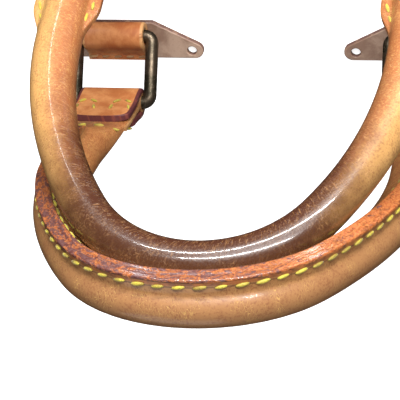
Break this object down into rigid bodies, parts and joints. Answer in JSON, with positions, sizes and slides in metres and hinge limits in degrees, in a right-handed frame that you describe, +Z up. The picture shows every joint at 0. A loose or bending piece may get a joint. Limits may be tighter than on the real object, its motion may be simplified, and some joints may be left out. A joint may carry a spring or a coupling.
{
  "type": "rolled leather carry handle pair",
  "caption": "Pair of rolled leather carry handles, each hung from rectangular rings that turn in strap loops sewn to flat base patches.",
  "frame": {"origin": "level with the underside of the base patches, under the middle of the whole object", "axes": "+Z up, towards the crowns of the raised handles; X along the handles, +X to the right; -Y is the front"},
  "size_m": [0.1642, 0.0778, 0.1656],
  "materials": {
    "roll_leather": "smooth vegetable-tanned leather darkened by handling, glossy at the crown",
    "core": "twisted cord",
    "thread": "waxed yellow linen thread",
    "tab_leather": "smooth tan leather with painted edges",
    "liner_leather": "thin undyed leather",
    "ring_metal": "aged brass, dark with patina and worn at the corners",
    "base_leather": "tan leather with painted edges",
    "strap_leather": "smooth tan leather"
  },
  "bodies": {
    "base": {"front_left_base": "base_leather", "front_left_strap": "strap_leather", "front_left_strap_thread": "thread", "front_right_base": "base_leather", "front_right_strap": "strap_leather", "front_right_strap_thread": "thread", "rear_left_base": "base_leather", "rear_left_strap": "strap_leather", "rear_left_strap_thread": "thread", "rear_right_base": "base_leather", "rear_right_strap": "strap_leather", "rear_right_strap_thread": "thread"},
    "front_left_ring": {"front_left_ring": "ring_metal"},
    "front_right_ring": {"front_right_ring": "ring_metal"},
    "rear_left_ring": {"rear_left_ring": "ring_metal"},
    "rear_right_ring": {"rear_right_ring": "ring_metal"},
    "front_handle": {"front_roll": "roll_leather", "front_core": "core", "front_seam_thread": "thread", "front_left_tab": "tab_leather", "front_left_liner": "liner_leather", "front_left_tab_thread": "thread", "front_right_tab": "tab_leather", "front_right_liner": "liner_leather", "front_right_tab_thread": "thread"},
    "rear_handle": {"rear_roll": "roll_leather", "rear_core": "core", "rear_seam_thread": "thread", "rear_left_tab": "tab_leather", "rear_left_liner": "liner_leather", "rear_left_tab_thread": "thread", "rear_right_tab": "tab_leather", "rear_right_liner": "liner_leather", "rear_right_tab_thread": "thread"}
  },
  "joints": [
    {"name": "front_left_ring_swing", "type": "hinge", "parent": "base", "child": "front_left_ring", "pos_m": [-0.05313, -0.01153, 0.007], "axis": [1, 0, 0], "range_deg": [0, 6]},
    {"name": "front_right_ring_swing", "type": "hinge", "parent": "base", "child": "front_right_ring", "pos_m": [0.05313, -0.01153, 0.007], "axis": [1, 0, 0], "range_deg": [0, 6]},
    {"name": "front_handle_swing", "type": "hinge", "parent": "front_left_ring", "child": "front_handle", "pos_m": [-0.05313, -0.034, 0.0094], "axis": [1, 0, 0], "range_deg": [0, 92]},
    {"name": "rear_left_ring_swing", "type": "hinge", "parent": "base", "child": "rear_left_ring", "pos_m": [-0.05313, 0.01634, 0.007], "axis": [-1, 0, 0], "range_deg": [0, 38]},
    {"name": "rear_right_ring_swing", "type": "hinge", "parent": "base", "child": "rear_right_ring", "pos_m": [0.05313, 0.01634, 0.007], "axis": [-1, 0, 0], "range_deg": [0, 38]},
    {"name": "rear_handle_swing", "type": "hinge", "parent": "rear_left_ring", "child": "rear_handle", "pos_m": [-0.05313, 0.03399, 0.02111], "axis": [-1, 0, 0], "range_deg": [0, 58]}
  ],
  "couplings": [
    {"joint": "front_right_ring_swing", "follows": "front_left_ring_swing", "ratio": 1},
    {"joint": "rear_right_ring_swing", "follows": "rear_left_ring_swing", "ratio": 1}
  ]
}
